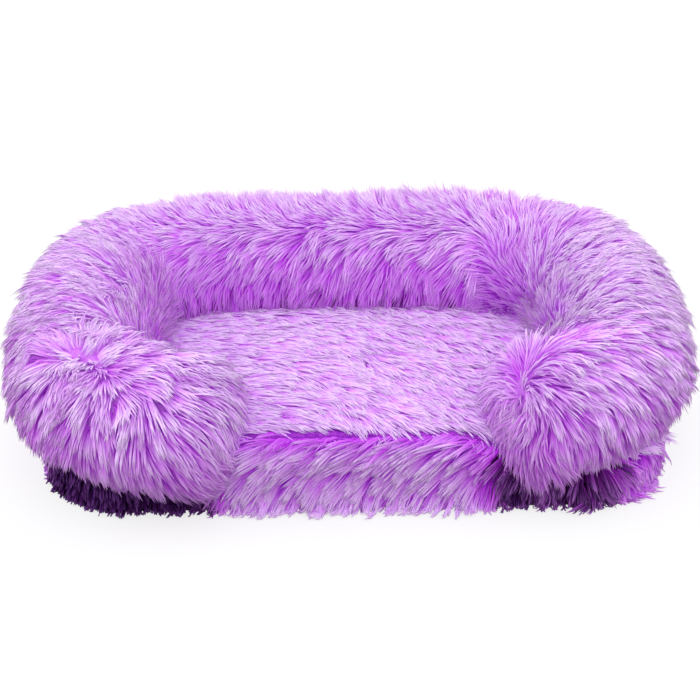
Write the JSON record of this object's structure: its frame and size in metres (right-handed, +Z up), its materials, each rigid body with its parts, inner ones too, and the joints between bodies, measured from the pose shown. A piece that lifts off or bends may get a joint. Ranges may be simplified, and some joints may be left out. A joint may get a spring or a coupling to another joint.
{
  "type": "plush pet bed",
  "caption": "Shag plush pet bed: boxed mattress in a zipped cover, with a C-shaped stuffed bolster round the back and sides and an open front.",
  "frame": {"origin": "on the floor, at the middle of the bed's footprint", "axes": "+X to the right as seen from the entrance, +Y to the back of the bed, +Z up; the entrance faces -Y"},
  "size_m": [0.75, 0.5016, 0.199],
  "materials": {
    "plush": "long shag pile, violet with pale lilac tips",
    "seat_plush": "the same shag pile, combed flat",
    "oxford": "woven, coated, with small non-slip dots",
    "liner": "non-woven",
    "fibre": "loose polyester fibre",
    "zip_tape": "woven tape",
    "zip_teeth": "moulded, satin",
    "zip_stop": "moulded, satin",
    "zip_metal": "die-cast, lacquered"
  },
  "bodies": {
    "cover": {"bolster_outer_panel": "plush", "bolster_inner_panel": "plush", "bolster_end_panel_left": "plush", "bolster_end_panel_right": "plush", "side_boxing": "plush", "rear_boxing_upper": "plush", "rear_boxing_lower": "plush", "sleeping_panel": "seat_plush", "bottom_panel": "oxford", "bolster_liner_outer": "liner", "bolster_liner_inner": "liner", "mattress_liner_top": "liner", "mattress_liner_bottom": "liner", "bolster_filling": "fibre", "mattress_filling": "fibre", "zip_tape_upper": "zip_tape", "zip_tape_lower": "zip_tape", "zip_teeth_upper": "zip_teeth", "zip_teeth_lower": "zip_teeth", "zip_top_stop_upper": "zip_stop", "zip_top_stop_lower": "zip_stop", "zip_bottom_stop": "zip_stop"},
    "slider": {"zip_slider": "zip_metal"},
    "pull": {"zip_pull_tab": "zip_metal"}
  },
  "joints": [
    {"name": "zip_slide", "type": "slide", "parent": "cover", "child": "slider", "axis": [-1, 0, 0], "range_m": [0, 0.254], "deforming": ["zip_teeth_upper", "zip_teeth_lower"]},
    {"name": "pull_tab_hinge", "type": "hinge", "parent": "slider", "child": "pull", "pos_m": [0.127, 0.19328, 0.026], "axis": [0, 0, -1], "range_deg": [0, 175]}
  ]
}
